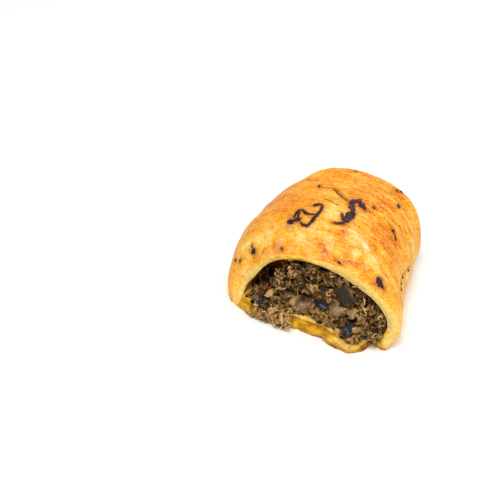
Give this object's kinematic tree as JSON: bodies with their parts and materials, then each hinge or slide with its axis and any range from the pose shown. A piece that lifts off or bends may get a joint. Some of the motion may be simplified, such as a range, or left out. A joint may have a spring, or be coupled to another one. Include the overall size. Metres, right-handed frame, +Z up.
{
  "type": "cabbage pastry",
  "caption": "Domed slice of golden baked pastry roll, open at both cut ends, filled with dark stewed shredded cabbage on a flat base.",
  "frame": {"origin": "middle of the part's bounding box at its base, on the surface that it rests on", "axes": "+Z up, +Y along the roll from the leading cut to the rear cut, +X to the right of someone who looks at the leading cut"},
  "size_m": [0.0656, 0.0707, 0.034],
  "materials": {
    "baked_crust": "egg-washed, golden brown, satin",
    "stewed_cabbage": "moist, dark olive brown"
  },
  "bodies": {
    "root": {"crust": "baked_crust", "filling": "stewed_cabbage"}
  },
  "joints": []
}
